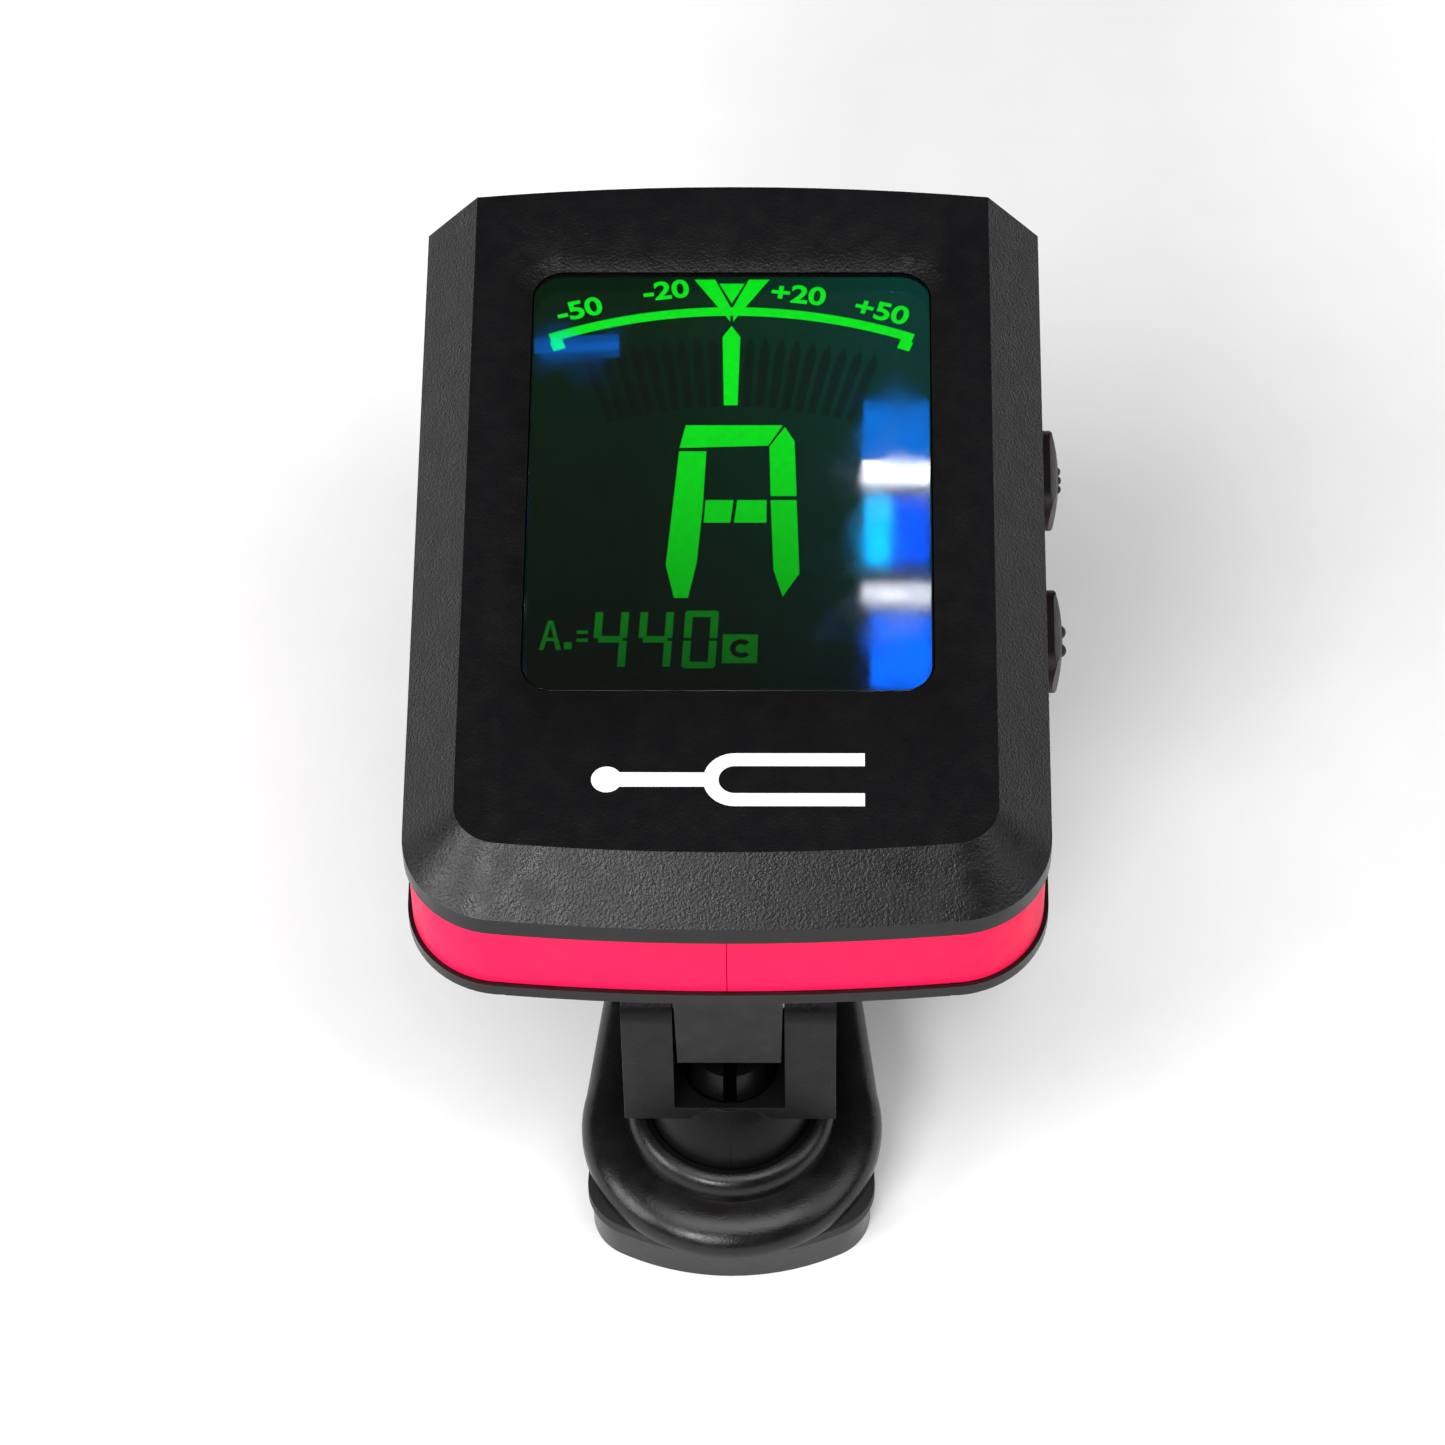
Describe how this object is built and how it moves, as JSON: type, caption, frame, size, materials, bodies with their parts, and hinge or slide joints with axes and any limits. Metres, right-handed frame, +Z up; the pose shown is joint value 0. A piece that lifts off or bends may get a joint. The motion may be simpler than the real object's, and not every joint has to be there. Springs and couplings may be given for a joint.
{
  "type": "clip-on tuner",
  "caption": "Clip-on instrument tuner: bevelled display head with a coloured band and side buttons, tilting on a swivel fork over a sprung clip.",
  "frame": {"origin": "on the lower arm's flat underside, straight below the swivel axis", "axes": "+Z up, along the swivel axis; +Y from the jaw tips towards the levers and the head's far end; +X to the button side"},
  "size_m": [0.0432, 0.0633, 0.0415],
  "materials": {
    "clip_plastic": "satin moulded black",
    "fork_plastic": "satin moulded black",
    "case_plastic": "fine-grained matt black",
    "button_plastic": "matt black",
    "band_plastic": "satin pink",
    "lens": "clear gloss",
    "lcd": "dark display glass",
    "white_plastic": "white moulded",
    "light_guide": "clear acrylic",
    "led": "phosphor yellow",
    "board": "green solder mask",
    "chip": "black epoxy",
    "switch_body": "grey moulded",
    "pad_rubber": "soft black rubber",
    "washer_plastic": "natural nylon",
    "steel": "bright zinc plated",
    "cell_steel": "polished nickel",
    "contact": "gold plated spring bronze",
    "brass": "brass disc with ceramic",
    "wire": "insulated wire"
  },
  "bodies": {
    "lower_clip": {"lower_arm": "clip_plastic", "lower_jaw_pad": "pad_rubber", "clip_hinge_pin": "steel", "torsion_spring": "steel"},
    "upper_clip": {"upper_arm": "clip_plastic", "upper_jaw_pad": "pad_rubber", "swivel_rivet": "fork_plastic", "swivel_washer": "washer_plastic"},
    "turntable": {"swivel_fork": "fork_plastic", "tilt_pin": "steel"},
    "head": {"rear_cover": "case_plastic", "front_cover": "case_plastic", "band_left": "band_plastic", "band_right": "band_plastic", "display_window": "lens", "lcd_panel": "lcd", "lcd_holder": "white_plastic", "backlight_plate": "light_guide", "backlight_leds": "led", "zebra_strip": "pad_rubber", "circuit_board": "board", "controller_chip": "chip", "quartz_crystal": "steel", "power_switch": "switch_body", "mode_switch": "switch_body", "piezo_disc": "brass", "piezo_leads": "wire", "coin_cell": "cell_steel", "battery_contact_positive": "contact", "battery_contact_negative": "contact", "case_screws": "steel"},
    "power_button": {"power_button": "button_plastic"},
    "mode_button": {"mode_button": "button_plastic"},
    "battery_door": {"battery_door": "case_plastic"}
  },
  "joints": [
    {"name": "clip_open", "type": "hinge", "parent": "lower_clip", "child": "upper_clip", "pos_m": [0, 0.024, 0.0095], "axis": [-1, 0, 0], "range_deg": [0, 26], "stiffness_Nm_per_rad": 0.35, "springref_deg": -34.38, "deforming": ["torsion_spring"]},
    {"name": "swivel", "type": "hinge", "parent": "upper_clip", "child": "turntable", "pos_m": [0, 0, 0.0082], "axis": [0, 0, 1], "continuous": true},
    {"name": "head_tilt", "type": "hinge", "parent": "turntable", "child": "head", "pos_m": [0, 0, 0.0222], "axis": [1, 0, 0], "range_deg": [0, 110]},
    {"name": "power_press", "type": "slide", "parent": "head", "child": "power_button", "axis": [-1, 0, 0], "range_m": [0, 0.0005], "stiffness_N_per_m": 600, "springref_m": -0.0005},
    {"name": "mode_press", "type": "slide", "parent": "head", "child": "mode_button", "axis": [-1, 0, 0], "range_m": [0, 0.0005], "stiffness_N_per_m": 600, "springref_m": -0.0005},
    {"name": "battery_door_slide", "type": "slide", "parent": "head", "child": "battery_door", "axis": [0, 1, 0], "range_m": [0, 0.028]}
  ]
}
